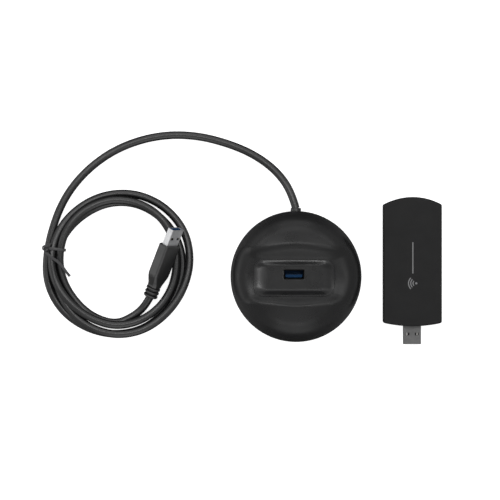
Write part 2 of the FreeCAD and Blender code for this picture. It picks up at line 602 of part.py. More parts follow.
z = AD_PCB[1] + 0.02
can = box(AD_X - 13, AD_X + 13, -8, 16, z, z + 2.4).cut(box(AD_X - 12.75, AD_X + 12.75, -7.75, 15.75, z - 1, z + 2.15))
save(solid_of(can), "rf_shield_can")
save(rprism(AD_X, 4, 10, 10, 0.3, z, z + 0.9), "radio_chip")
save(rprism(AD_X, 4, 9, 9, 0.5, z + 0.92, z + 2.13), "thermal_pad")
save(rprism(AD_X - 9.0, -13.5, 3.2, 2.5, 0.3, z, z + 0.8), "clock_crystal")
caps = []
for i in range(4):
    caps.append(box(AD_X + 4 + 3 * i - 0.8, AD_X + 4 + 3 * i + 0.8, -13.4, -12.6, z, z + 0.8))
for i in range(4):
    caps.append(box(AD_X - 6 + 4 * i - 0.5, AD_X - 6 + 4 * i + 0.5, 19.4, 21.0, z, z + 0.8))
save(group(caps), "capacitors")
fl = rprism(AD_X + 9.0, -19.0, 7.0, 5.0, 0.3, z, z + 1.0)
save(fl, "power_regulator")
for sx, name in ((-1, "antenna_left"), (1, "antenna_right")):
    a = box(AD_X + sx * 9 - 6.5, AD_X + sx * 9 + 6.5, 36.0, 36.3, z, z + 5.0)
    a = a.fuse(box(AD_X + sx * 9 - 6.5, AD_X + sx * 9 + 6.5, 36.0, 44.0, z + 4.7, z + 5.0))
    a = a.fuse(box(AD_X + sx * 9 - 6.5, AD_X + sx * 9 - 5.0, 43.7, 44.0, z, z + 5.0))
    a = a.cut(box(AD_X + sx * 9 - 2.0, AD_X + sx * 9 + 6.6, 39.0, 40.2, z + 4, z + 6))
    save(solid_of(a), name)

print("cord in all: lead %.1f + tail %.1f + the coil's turns" % (lead_len, tail_len))
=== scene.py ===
"""Looks of a wireless network stick and its round desk cradle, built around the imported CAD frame.

Everything is in metres, in the frame of the CAD model.
"""
import json
import math

import bmesh
import bpy
import numpy as np
from mathutils import Matrix, Vector


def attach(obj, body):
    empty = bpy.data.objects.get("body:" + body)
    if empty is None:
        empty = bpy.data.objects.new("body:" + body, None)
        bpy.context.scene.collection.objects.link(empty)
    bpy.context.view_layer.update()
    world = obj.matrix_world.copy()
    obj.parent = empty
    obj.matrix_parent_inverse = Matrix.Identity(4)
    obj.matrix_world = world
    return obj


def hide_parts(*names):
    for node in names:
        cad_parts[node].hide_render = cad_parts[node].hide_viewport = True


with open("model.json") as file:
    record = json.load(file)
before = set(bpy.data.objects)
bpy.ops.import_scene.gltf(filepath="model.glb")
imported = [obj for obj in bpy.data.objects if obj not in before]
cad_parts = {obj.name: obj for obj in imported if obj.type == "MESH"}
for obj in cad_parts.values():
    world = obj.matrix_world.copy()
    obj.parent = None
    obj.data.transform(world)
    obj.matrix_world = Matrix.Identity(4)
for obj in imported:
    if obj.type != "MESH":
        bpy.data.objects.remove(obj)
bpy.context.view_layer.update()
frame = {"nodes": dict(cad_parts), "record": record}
nodes = frame["nodes"]
scene = bpy.context.scene
MM = 0.001


# ------------------------------------------------------------------ camera
CAM_H = 1.8
cam_data = bpy.data.cameras.new("camera")
cam_data.sensor_width = 36.0
cam_data.lens = 36.0 * (CAM_H - 0.0079) / 0.3375
cam_data.clip_start = 0.05
cam_data.clip_end = 20.0
camera = bpy.data.objects.new("camera", cam_data)
camera.location = (-0.0309, 0.0178, CAM_H)
camera.rotation_euler = (0.0, 0.0, 0.0)
scene.collection.objects.link(camera)
scene.camera = camera


# -------------------------------------------------------------------- cord
# One line from the gland to the plug: the lead across the desk, the tied
# turns, and the tail to the plug.
CORD_D = 0.0053
ROUTE = [
    (0.0000, 0.0460, 0.0095),
    (-0.0032, 0.0578, 0.0090),
    (-0.0135, 0.0718, 0.0058),
    (-0.0283, 0.0826, 0.0030),
    (-0.0456, 0.0899, 0.00275),
    (-0.0650, 0.0949, 0.00275),
    (-0.0850, 0.0960, 0.00275),
    (-0.1048, 0.0926, 0.00275),
    (-0.1238, 0.0849, 0.00275),
    (-0.1406, 0.0727, 0.00275),
    (-0.1538, 0.0574, 0.00275),
    (-0.1626, 0.0396, 0.00275),
    # first turn
    (-0.1686, 0.0160, 0.00312),
    (-0.1686, -0.0047, 0.00270),
    (-0.1589, -0.0232, 0.00270),
    (-0.1422, -0.0352, 0.00270),
    (-0.1225, -0.0400, 0.00270),
    (-0.1030, -0.0361, 0.00270),
    (-0.0876, -0.0241, 0.00270),
    (-0.0783, -0.0077, 0.00270),
    (-0.0757, 0.0106, 0.00270),
    (-0.0810, 0.0282, 0.00270),
    (-0.0928, 0.0419, 0.00270),
    (-0.1088, 0.0500, 0.00270),
    (-0.1266, 0.0502, 0.00270),
    (-0.1425, 0.0429, 0.00270),
    (-0.1551, 0.0311, 0.00270),
    # second turn
    (-0.1629, 0.0151, 0.00305),
    (-0.1632, -0.0033, 0.00276),
    (-0.1554, -0.0203, 0.00518),
    (-0.1414, -0.0338, 0.00776),
    (-0.1225, -0.0401, 0.00796),
    (-0.1027, -0.0368, 0.00788),
    (-0.0865, -0.0252, 0.00743),
    (-0.0754, -0.0088, 0.00678),
    (-0.0706, 0.0109, 0.00516),
    (-0.0748, 0.0313, 0.00332),
    (-0.0884, 0.0474, 0.00270),
    (-0.1072, 0.0561, 0.00270),
    (-0.1276, 0.0560, 0.00270),
    (-0.1457, 0.0479, 0.00282),
    (-0.1592, 0.0338, 0.00472),
    # third turn
    (-0.1657, 0.0155, 0.00772),
    (-0.1632, -0.0033, 0.00802),
    (-0.1528, -0.0183, 0.00907),
    (-0.1388, -0.0285, 0.00819),
    (-0.1222, -0.0339, 0.00798),
    (-0.1051, -0.0305, 0.00758),
    (-0.0911, -0.0206, 0.00641),
    (-0.0826, -0.0061, 0.00602),
    (-0.0800, 0.0104, 0.00611),
    (-0.0827, 0.0273, 0.00741),
    (-0.0925, 0.0422, 0.00797),
    (-0.1086, 0.0509, 0.00797),
    (-0.1269, 0.0521, 0.00780),
    (-0.1436, 0.0447, 0.00772),
    (-0.1556, 0.0314, 0.00758),
    # last quarter turn, then out to the plug
    (-0.1601, 0.0146, 0.00724),
    (-0.1581, -0.0019, 0.00422),
    (-0.1501, -0.0161, 0.00270),
    (-0.1381, -0.0272, 0.00270),
    (-0.1221, -0.0326, 0.00270),
    (-0.1093, -0.0269, 0.00270),
    (-0.1017, -0.0199, 0.00305),
    (-0.09835, -0.0136, 0.0049),
]


def nurbs(name, pts, depth, cyclic=False, res=14, bevel=7):
    cu = bpy.data.curves.new(name, "CURVE")
    cu.dimensions = "3D"
    cu.resolution_u = res
    cu.bevel_depth = depth
    cu.bevel_resolution = bevel
    cu.use_fill_caps = True
    sp = cu.splines.new("NURBS")
    sp.points.add(len(pts) - 1)
    for p, c in zip(sp.points, pts):
        p.co = (c[0], c[1], c[2], 1.0)
    sp.use_cyclic_u = cyclic
    sp.order_u = 3
    sp.use_endpoint_u = not cyclic
    ob = bpy.data.objects.new(name, cu)
    scene.collection.objects.link(ob)
    return ob


cord = nurbs("extension_cord", ROUTE, CORD_D / 2)


# --------------------------------------------------------------- materials
def new_mat(name):
    m = bpy.data.materials.new(name)
    m.use_nodes = True
    nt = m.node_tree
    bsdf = nt.nodes["Principled BSDF"]
    tc = nt.nodes.new("ShaderNodeTexCoord")
    return m, nt, bsdf, tc


def noise(nt, vec, scale, detail=4.0, rough=0.55, stretch=None):
    n = nt.nodes.new("ShaderNodeTexNoise")
    n.inputs["Scale"].default_value = scale
    n.inputs["Detail"].default_value = detail
    n.inputs["Roughness"].default_value = rough
    if stretch is not None:
        mp = nt.nodes.new("ShaderNodeMapping")
        mp.inputs["Scale"].default_value = stretch
        nt.links.new(vec, mp.inputs["Vector"])
        vec = mp.outputs["Vector"]
    nt.links.new(vec, n.inputs["Vector"])
    return n.outputs["Fac"]


def ramp(nt, fac, c0, c1, p0=0.3, p1=0.7):
    r = nt.nodes.new("ShaderNodeValToRGB")
    r.color_ramp.elements[0].position = p0
    r.color_ramp.elements[1].position = p1
    r.color_ramp.elements[0].color = (*c0, 1.0)
    r.color_ramp.elements[1].color = (*c1, 1.0)
    nt.links.new(fac, r.inputs["Fac"])
    return r.outputs["Color"]


def remap(nt, fac, a, b, lo=0.3, hi=0.7):
    r = nt.nodes.new("ShaderNodeMapRange")
    r.inputs["From Min"].default_value = lo
    r.inputs["From Max"].default_value = hi
    r.inputs["To Min"].default_value = a
    r.inputs["To Max"].default_value = b
    nt.links.new(fac, r.inputs["Value"])
    return r.outputs["Result"]


def bump(nt, height, strength, dist, prev=None):
    b = nt.nodes.new("ShaderNodeBump")
    b.inputs["Strength"].default_value = strength
    b.inputs["Distance"].default_value = dist
    nt.links.new(height, b.inputs["Height"])
    if prev is not None:
        nt.links.new(prev, b.inputs["Normal"])
    return b.outputs["Normal"]


def plastic(name, colour, rough, spec=0.5, grain=2600.0, grain_h=0.00002, grain_s=0.25,
            vary=0.12, rough_vary=0.05, wave=0.0, stretch=None):
    """Moulded plastic: eroded grain as bump, faint mottling of colour and gloss."""
    m, nt, bsdf, tc = new_mat(name)
    v = tc.outputs["Object"]
    big = noise(nt, v, 120.0, 3.0)
    fine = noise(nt, v, grain, 6.0, 0.6, stretch)
    mid = noise(nt, v, grain * 0.22, 3.0, 0.5)
    c0 = tuple(c * (1 - vary) for c in colour)
    c1 = tuple(c * (1 + vary) for c in colour)
    nt.links.new(ramp(nt, fine, c0, c1), bsdf.inputs["Base Color"])
    nt.links.new(remap(nt, big, rough - rough_vary, rough + rough_vary), bsdf.inputs["Roughness"])
    bsdf.inputs["Specular IOR Level"].default_value = spec
    nrm = bump(nt, fine, grain_s, grain_h)
    nrm = bump(nt, mid, grain_s * 0.5, grain_h * 1.6, nrm)
    if wave:
        nrm = bump(nt, noise(nt, v, 60.0, 2.0), wave, 0.0002, nrm)
    nt.links.new(nrm, bsdf.inputs["Normal"])
    return m


def metal(name, colour, rough, stretch, dark=0.85, scale=900.0, strength=0.12):
    """Plated sheet with a fine drawn grain and faint handling marks."""
    m, nt, bsdf, tc = new_mat(name)
    v = tc.outputs["Object"]
    g = noise(nt, v, scale, 5.0, 0.6, stretch)
    stain = noise(nt, v, 240.0, 4.0)
    nt.links.new(ramp(nt, stain, tuple(c * dark for c in colour), colour), bsdf.inputs["Base Color"])
    nt.links.new(remap(nt, g, rough - 0.07, rough + 0.10), bsdf.inputs["Roughness"])
    bsdf.inputs["Metallic"].default_value = 1.0
    nt.links.new(bump(nt, g, strength, 0.00001), bsdf.inputs["Normal"])
    return m


M = {
    "cradle_plastic": plastic("cradle_plastic", (0.0095, 0.0095, 0.0099), 0.30, 0.35, 2400.0, 0.000012, 0.22),
    "base_plastic": plastic("base_plastic", (0.0095, 0.0095, 0.0099), 0.44, 0.35, 2000.0, 0.00002, 0.35),
    "foot_rubber": plastic("foot_rubber", (0.012, 0.012, 0.012), 0.8, 0.3, 1500.0, 0.00003, 0.4),
    "weight_steel": metal("weight_steel", (0.45, 0.45, 0.46), 0.42, (1, 1, 6)),
    "screw_steel": metal("screw_steel", (0.55, 0.55, 0.57), 0.3, (1, 1, 4)),
    "board_laminate": plastic("board_laminate", (0.012, 0.10, 0.04), 0.35, 0.5, 1800.0, 0.00001, 0.2),
    "plug_steel": metal("plug_steel", (0.86, 0.865, 0.88), 0.44, (1, 0.08, 1)),
    # blue insulator: its own blue, darkened further as painted shade of the recesses it sits in
    "blue_insulator": plastic("blue_insulator", (0.001, 0.030, 0.090), 0.4, 0.12, 2600.0, 0.00001, 0.2),
    "contact_gold": metal("contact_gold", (0.90, 0.66, 0.25), 0.22, (1, 0.2, 1)),
    "cord_jacket": plastic("cord_jacket", (0.0085, 0.0085, 0.0089), 0.27, 0.75, 2200.0, 0.00003, 0.3, wave=0.05),
    "wire_sleeve": plastic("wire_sleeve", (0.3, 0.02, 0.02), 0.4),
    "tie_plastic": plastic("tie_plastic", (0.048, 0.048, 0.050), 0.42, 0.5, 2200.0, 0.00003, 0.3),
    "plug_plastic": plastic("plug_plastic", (0.0120, 0.0120, 0.0124), 0.34, 0.85, 2400.0, 0.00003, 0.35),
    "adapter_plastic": plastic("adapter_plastic", (0.0095, 0.0095, 0.0098), 0.52, 0.22, 2800.0, 0.00003, 0.45),
    "shield_steel": metal("shield_steel", (0.62, 0.62, 0.60), 0.35, (1, 0.3, 1)),
    "chip_epoxy": plastic("chip_epoxy", (0.015, 0.015, 0.015), 0.5),
    "thermal_rubber": plastic("thermal_rubber", (0.3, 0.31, 0.33), 0.7),
    "ceramic_tan": plastic("ceramic_tan", (0.42, 0.28, 0.16), 0.5),
    "antenna_metal": metal("antenna_metal", (0.75, 0.55, 0.3), 0.3, (1, 0.3, 1)),
}
# finishes of single pieces: a dull dark plating on the stick's plug; inside the cradle's port, near-black
# plating and contacts that are painted shade of the deep slot
OWN = {
    "adapter_plug_shell": metal("dull_plating", (0.16, 0.16, 0.16), 0.38, (1, 0.08, 1)),
    "adapter_plug_insulator": plastic("grey_insulator", (0.012, 0.012, 0.013), 0.4, 0.3, 2600.0, 0.00001, 0.2),
    "adapter_plug_contacts": metal("plain_contact", (0.52, 0.51, 0.49), 0.25, (1, 0.2, 1)),
    # painted shade: the port's contacts and shell are coloured near black to stand for the shade deep in the
    # slot
    "port_contacts": metal("port_contact", (0.030, 0.028, 0.024), 0.35, (1, 0.2, 1)),
    "port_shell": metal("port_shell_painted_shade", (0.010, 0.010, 0.010), 0.5, (1, 0.08, 1)),
}
mark_mat = plastic("mark_ink", (0.20, 0.20, 0.205), 0.55, 0.3, 2600.0, 0.00001, 0.2, vary=0.08)

# every carried-over CAD node takes the finish of its slot
slot_of = {p["node"]: p["material_slot"] for p in frame["record"]["subparts"]}
for name, ob in nodes.items():
    mat = OWN.get(name, M[slot_of[name]])
    if not ob.material_slots:
        ob.data.materials.append(mat)
    for s in ob.material_slots:
        s.material = mat


# ------------------------------------------------------------ mesh helpers
def mesh_object(name, verts, faces, mat, smooth=True, closed=True):
    me = bpy.data.meshes.new(name)
    me.from_pydata([tuple(float(c) for c in v) for v in verts], [], faces)
    me.validate()
    if closed:
        bm = bmesh.new()
        bm.from_mesh(me)
        bmesh.ops.recalc_face_normals(bm, faces=bm.faces)
        bm.to_mesh(me)
        bm.free()
    me.update()
    if smooth:
        me.polygons.foreach_set("use_smooth", [True] * len(me.polygons))
    ob = bpy.data.objects.new(name, me)
    scene.collection.objects.link(ob)
    me.materials.append(mat)
    return ob


def ring_faces(n_rings, n, base=0, closed_rings=False):
    f = []
    last = n_rings if closed_rings else n_rings - 1
    for j in range(last):
        a = base + j * n
        b = base + ((j + 1) % n_rings) * n
        for i in range(n):
            k = (i + 1) % n
            f.append((a + i, a + k, b + k, b + i))
    return f


def apply_modifiers(ob):
    dg = bpy.context.evaluated_depsgraph_get()
    me = bpy.data.meshes.new_from_object(ob.evaluated_get(dg))
    ob.modifiers.clear()
    ob.data = me
    return ob


def sharp(ob, deg):
    ob.data.set_sharp_from_angle(angle=math.radians(deg))


# ---------------------------------------------------- cradle top and pocket
VAL_Z, VAL_R = 33.2, 400.0
CAP_R, CAP_Z = 104.036, -63.536
POC = np.array([-1.6, -0.8])
FLOOR_Z = 30.1


def smin(a, b, k):
    h = np.maximum(k - np.abs(a - b), 0.0) / k
    return np.minimum(a, b) - h * h * k * 0.25


def smax(a, b, k):
    return -smin(-a, -b, k)


def hermite(x, knots):
    """Smooth line through (x, value, slope) knots."""
    x = np.asarray(x, float)
    out = np.zeros_like(x)
    for (x0, y0, m0), (x1, y1, m1) in zip(knots, knots[1:]):
        sel = (x >= x0) & (x <= x1)
        t = (x[sel] - x0) / (x1 - x0)
        d = x1 - x0
        out[sel] = ((2 * t**3 - 3 * t**2 + 1) * y0 + (t**3 - 2 * t**2 + t) * d * m0
                    + (-2 * t**3 + 3 * t**2) * y1 + (t**3 - t**2) * d * m1)
    out[x > knots[-1][0]] = knots[-1][1]
    return out


def wall_base(x):
    return hermite(np.abs(x), [(0.0, 12.4, 0.0), (29.5, 14.1, 0.32), (36.0, 18.4, 0.66), (52.0, 27.5, 0.5)])


def valley_z(x, y):
    fl = VAL_Z - 0.5 - VAL_R + np.sqrt(VAL_R**2 - x**2) + y**2 / 130.0
    wall = VAL_Z + (np.abs(y) - wall_base(x)) * (7.3 / 7.4)
    return smax(fl, wall, 1.8)


def surface(x, y, dome):
    """Dome and valley, with a broad roll over the back crest and the two ends."""
    r = np.sqrt(x**2 + y**2)
    ends = np.clip((np.abs(x) - 26.0) / 14.0, 0.0, 1.0)
    k = 3.4 + 3.2 * np.clip(y / 14.0, 0.0, 1.0) + 3.6 * ends * ends
    return smin(dome, valley_z(x, y), k)


def rounded_rect(cx, cy, w, h, r, long_n=120, short_n=56, corner_n=40):
    """Closed outline, anticlockwise from the right side's lower end."""
    p = []
    hw, hh = w / 2, h / 2
    for i in range(short_n):
        p.append((hw, -hh + r + (h - 2 * r) * i / short_n))
    for i in range(corner_n):
        a = math.pi / 2 * i / corner_n
        p.append((hw - r + r * math.cos(a), hh - r + r * math.sin(a)))
    for i in range(long_n):
        p.append((hw - r - (w - 2 * r) * i / long_n, hh))
    for i in range(corner_n):
        a = math.pi / 2 + math.pi / 2 * i / corner_n
        p.append((-hw + r + r * math.cos(a), hh - r + r * math.sin(a)))
    for i in range(short_n):
        p.append((-hw, hh - r - (h - 2 * r) * i / short_n))
    for i in range(corner_n):
        a = math.pi + math.pi / 2 * i / corner_n
        p.append((-hw + r + r * math.cos(a), -hh + r + r * math.sin(a)))
    for i in range(long_n):
        p.append((-hw + r + (w - 2 * r) * i / long_n, -hh))
    for i in range(corner_n):
        a = 1.5 * math.pi + math.pi / 2 * i / corner_n
        p.append((hw - r + r * math.cos(a), -hh + r + r * math.sin(a)))
    return np.array(p) + np.array([cx, cy])


slot_in = rounded_rect(-1.6, 1.5, 13.3, 5.9, 0.5)
slot_out = rounded_rect(-1.6, 1.5, 14.3, 6.9, 0.9)
slot_far = rounded_rect(-1.6, 1.5, 14.7, 7.3, 1.1)
floor_o = rounded_rect(POC[0], POC[1], 39.9, 16.8, 2.2)
rim_o = rounded_rect(POC[0], POC[1], 52.6, 23.6, 6.0)
N = len(floor_o)

# outward direction in plan where the rim hands over to the dome
ang = np.unwrap(np.arctan2(rim_o[:, 1], rim_o[:, 0]))
circle = np.stack([np.cos(ang), np.sin(ang)], 1)
run = np.linalg.norm(rim_o - floor_o, axis=1)


def cap_z(x, y):
    r2 = x**2 + y**2
    r = np.sqrt(r2)
    cap = CAP_Z + np.sqrt(CAP_R**2 - np.minimum(r2, 30.0**2))
    side = 17.0 + np.sqrt(np.maximum(400.0 - (np.maximum(r, 24.0) - 24.0) ** 2, 0.0))
    return np.where(r < 29.7, cap, side)


rim_z = valley_z(rim_o[:, 0], rim_o[:, 1])
slope = (rim_z - FLOOR_Z) / run


def ring3(xy, z):
    return np.column_stack([xy, np.broadcast_to(z, (len(xy),))])


tray = []
tray.append(ring3(slot_in, FLOOR_Z - 1.45))
tray.append(ring3(slot_in, FLOOR_Z - 0.6))
tray.append(ring3(slot_in, FLOOR_Z - 0.48))
tray.append(ring3(slot_out * 0.1 + slot_in * 0.9, FLOOR_Z - 0.40))
tray.append(ring3(slot_out * 0.9 + slot_in * 0.1, FLOOR_Z - 0.06))
tray.append(ring3(slot_out, FLOOR_Z - 0.01))
tray.append(ring3(slot_far, FLOOR_Z))
inner_floor = floor_o - 0.14 * (rim_o - floor_o)
for t in (0.06, 0.16, 0.3, 0.46, 0.62, 0.78, 0.92):
    tray.append(ring3(slot_far * (1 - t) + inner_floor * t, FLOOR_Z))
ts = [-0.14, -0.10, -0.075, -0.05, -0.025, 0.0, 0.025, 0.05, 0.075, 0.10, 0.14, 0.2, 0.28, 0.38, 0.48,
      0.58, 0.68, 0.76, 0.82, 0.87, 0.91, 0.95, 0.98]
for t in ts:
    xy = floor_o + t * (rim_o - floor_o)
    zw = smax(np.full(N, FLOOR_Z), FLOOR_Z + (rim_z - FLOOR_Z) * t, 0.9)
    zs = surface(xy[:, 0], xy[:, 1], cap_z(xy[:, 0], xy[:, 1]))
    tray.append(ring3(xy, smin(zs, zw, 0.9)))


def beyond(d):
    """A ring d mm outside the pocket's rim."""
    nrm = (rim_o - floor_o) / run[:, None]
    xy = rim_o + nrm * d
    zs = surface(xy[:, 0], xy[:, 1], cap_z(xy[:, 0], xy[:, 1]))
    zw = rim_z + slope * d
    return xy, smin(zs, zw, 0.9)


for d in (0.0, 0.15, 0.3, 0.4):
    xy, z = beyond(d)
    tray.append(ring3(xy, z))
xy, z = beyond(0.46)
tray.append(ring3(xy, z - 0.07))
xy, z = beyond(0.48)
tray.append(ring3(xy, z - 0.5))

top = []
xy, z = beyond(0.52)
top.append(ring3(xy, z - 0.5))
top.append(ring3(xy, z - 0.12))
xy, z = beyond(0.56)
top.append(ring3(xy, z - 0.02))
start_xy, _ = beyond(0.64)
R0 = 31.0
n_mid = 56
for j in range(n_mid + 1):
    u = (j / n_mid) ** 1.35
    xy = start_xy * (1 - u) + circle * R0 * u
    zs = surface(xy[:, 0], xy[:, 1], cap_z(xy[:, 0], xy[:, 1]))
    d = 0.64 + np.linalg.norm(xy - start_xy, axis=1)
    zw = rim_z + slope * d
    top.append(ring3(xy, smin(zs, zw, 0.9)))
phi0 = math.acos((R0 - 24.0) / 20.0)
phi1 = math.asin((11.3 - 17.0) / 20.0)
n_side = 62
for j in range(1, n_side + 1):
    ph = phi0 + (phi1 - phi0) * j / n_side
    r = 24.0 + 20.0 * math.cos(ph)
    zc = 17.0 + 20.0 * math.sin(ph)
    xy = circle * r
    zs = surface(xy[:, 0], xy[:, 1], np.full(N, zc))
    top.append(ring3(xy, zs))
r_low = 24.0 + math.sqrt(400.0 - (11.0 - 17.0) ** 2)
top.append(ring3(circle * (r_low - 0.02), 11.16))
top.append(ring3(circle * (r_low - 0.10), 11.06))
top.append(ring3(circle * (r_low - 0.30), 11.02))


def skin(name, rings, thick):
    v = np.concatenate(rings) * MM
    f = [tuple(reversed(q)) for q in ring_faces(len(rings), N)]
    ob = mesh_object(name, v, f, M["cradle_plastic"], closed=False)
    md = ob.modifiers.new("wall", "SOLIDIFY")
    md.thickness = thick
    md.offset = -1.0
    apply_modifiers(ob)
    ob.data.polygons.foreach_set("use_smooth", [True] * len(ob.data.polygons))
    return ob


cradle_tray = skin("pocket_tray", tray, 0.0008)
cradle_top = skin("cradle_top_skin", top, 0.0012)
for ob, node in ((cradle_tray, "cradle_pocket_tray"), (cradle_top, "cradle_top_cover")):
    sharp(ob, 50)
    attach(ob, "cradle")
    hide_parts(node)


# ----------------------------------------------------------- gland on cradle
def revolve(name, profile, mat, place=Matrix.Identity(4), n=72, caps=True):
    """profile is (radius, height) pairs in mm, turned about the local z axis."""
    v = []
    for r, z in profile:
        for i in range(n):
            a = 2 * math.pi * i / n
            v.append(place @ Vector((r * math.cos(a), r * math.sin(a), z)))
    f = ring_faces(len(profile), n)
    if caps:
        f.append(tuple(reversed(range(n))))
        f.append(tuple((len(profile) - 1) * n + i for i in range(n)))
    ob = mesh_object(name, [p * MM for p in v], f, mat)
    return ob


def smooth_profile(pts, step=0.12):
    """Rounds the corners of an (r, z) polyline by cutting them twice."""
    for _ in range(3):
        q = [pts[0]]
        for a, b in zip(pts, pts[1:]):
            q.append((a[0] * 0.78 + b[0] * 0.22, a[1] * 0.78 + b[1] * 0.22))
            q.append((a[0] * 0.22 + b[0] * 0.78, a[1] * 0.22 + b[1] * 0.78))
        q.append(pts[-1])
        pts = q
    return pts


gl_prof = smooth_profile([(3.3, 0.0), (4.3, 0.0), (4.3, 1.9), (4.1, 2.15), (3.6, 2.2), (3.5, 2.4), (3.5, 4.3), (3.4, 4.9),
                          (3.0, 5.2), (2.7, 5.25)])
gl_place = Matrix.Translation((0, 41.0, 9.5)) @ Matrix.Rotation(math.radians(-90), 4, "X")
gland = revolve("cord_gland_collar", gl_prof, M["cord_jacket"], gl_place, caps=False)
sharp(gland, 60)
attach(gland, "cradle")
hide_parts("cord_gland")


# ------------------------------------------------------------- plug on cord
th = math.radians(16.0)
ph = math.radians(58.0)
ax = Vector((0.364 * math.cos(th), 0.931 * math.cos(th), math.sin(th)))
upv = Vector((-0.364 * math.sin(th), -0.931 * math.sin(th), math.cos(th)))
rt = Vector((0.931, -0.364, 0.0))
bb = upv * math.sin(ph) - rt * math.cos(ph)
yy = ax.cross(bb)
PLUG = Matrix(((bb.x, yy.x, ax.x, -98.35), (bb.y, yy.y, ax.y, -13.6), (bb.z, yy.z, ax.z, 4.9), (0, 0, 0, 1)))


def bevelled(w, h, c, n_edge=7, n_cut=5, r=0.32):
    """Rectangle with cut corners whose eight edges are rounded a little, 96 points."""
    base = [(w / 2, -h / 2 + c), (w / 2, h / 2 - c), (w / 2 - c, h / 2), (-w / 2 + c, h / 2),
            (-w / 2, h / 2 - c), (-w / 2, -h / 2 + c), (-w / 2 + c, -h / 2), (w / 2 - c, -h / 2)]
    out = []
    m = len(base)
    for i in range(m):
        p0, p, p1 = Vector(base[i - 1]), Vector(base[i]), Vector(base[(i + 1) % m])
        d0, d1 = (p0 - p).normalized(), (p1 - p).normalized()
        cut = min(r, 0.42 * (p0 - p).length, 0.42 * (p1 - p).length)
        a, b = p + d0 * cut, p + d1 * cut
        for k in range(5):
            t = k / 4
            q = a * (1 - t) ** 2 + p * 2 * t * (1 - t) + b * t * t
            out.append((q.x, q.y))
        nxt = Vector(base[(i + 1) % m])
        d2 = (Vector(base[(i + 2) % m]) - nxt).normalized()
        cut2 = min(r, 0.42 * (nxt - p).length, 0.42 * (Vector(base[(i + 2) % m]) - nxt).length)
        c0 = nxt - d1 * cut2
        for k in range(1, n_edge + 1):
            t = k / (n_edge + 1)
            q = b * (1 - t) + c0 * t
            out.append((q.x, q.y))
    return out


def pchip(x, xs, ys):
    """Monotone smooth interpolation."""
    xs, ys = np.array(xs, float), np.array(ys, float)
    h = np.diff(xs)
    d = np.diff(ys) / h
    m = np.zeros(len(xs))
    m[0], m[-1] = d[0], d[-1]
    for i in range(1, len(xs) - 1):
        if d[i - 1] * d[i] > 0:
            w1, w2 = 2 * h[i] + h[i - 1], h[i] + 2 * h[i - 1]
            m[i] = (w1 + w2) / (w1 / d[i - 1] + w2 / d[i])
    i = int(min(max(np.searchsorted(xs, x) - 1, 0), len(h) - 1))
    t = (x - xs[i]) / h[i]
    return float((2 * t**3 - 3 * t**2 + 1) * ys[i] + (t**3 - 2 * t**2 + t) * h[i] * m[i]
                 + (-2 * t**3 + 3 * t**2) * ys[i + 1] + (t**3 - t**2) * h[i] * m[i + 1])


ZS = [7.62, 8.6, 10.0, 12.4, 15.4, 17.4, 18.8, 24.0, 31.0, 38.3]
WS = [9.3, 9.4, 10.1, 12.0, 14.3, 15.05, 15.2, 15.2, 15.2, 15.2]
HS = [7.7, 7.6, 7.7, 7.8, 7.8, 7.8, 7.8, 7.8, 7.8, 7.8]
CS = [2.0, 2.0, 1.9, 1.5, 1.15, 1.0, 1.0, 1.0, 1.0, 1.0]
om_rings = []


def om_ring(w, h, c, z, r=0.32):
    om_rings.append([PLUG @ Vector((x, y, z)) for x, y in bevelled(w, h, c, r=r)])


om_ring(5.6, 5.6, 1.4, 7.62)
om_ring(8.7, 7.1, 1.9, 7.62)
om_ring(9.15, 7.55, 2.0, 7.72)
z = 7.95
while z < 38.35:
    om_ring(pchip(z, ZS, WS), pchip(z, ZS, HS), pchip(z, ZS, CS), z)
    z += 0.45
for k in range(1, 7):
    a = math.pi / 2 * k / 6
    s = 0.85 * (1 - math.cos(a))
    om_ring(15.2 - 2 * s, 7.8 - 2 * s, 1.0, 38.35 + 0.85 * math.sin(a))
om_ring(12.14, 4.64, 0.25, 39.2, r=0.1)
om_ring(12.1, 4.6, 0.25, 39.05, r=0.1)
om_ring(12.1, 4.6, 0.25, 36.0, r=0.1)
n_om = len(om_rings[0])
om_f = ring_faces(len(om_rings), n_om)
om_f.append(tuple(reversed(range(n_om))))
om_f.append(tuple((len(om_rings) - 1) * n_om + i for i in range(n_om)))
overmould = mesh_object("plug_grip", [p * MM for r in om_rings for p in r], om_f, M["plug_plastic"])
sharp(overmould, 40)
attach(overmould, "cradle")
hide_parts("plug_overmould")

sr_pts = [(2.72, -0.10), (3.3, -0.10), (4.35, 0.0), (4.85, 0.50), (4.85, 1.30), (4.4, 1.78), (2.9, 1.85),
          (2.9, 2.65), (4.35, 2.72), (4.85, 3.2), (4.85, 3.95), (4.4, 4.45), (2.9, 4.52), (2.9, 5.35),
          (4.35, 5.42), (4.85, 5.9), (4.85, 6.6), (4.4, 7.1), (3.3, 7.2), (3.2, 7.75)]
relief = revolve("plug_strain_rings", smooth_profile(sr_pts), M["plug_plastic"], PLUG, n=80, caps=False)
sharp(relief, 60)
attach(relief, "cradle")
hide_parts("plug_strain_relief")


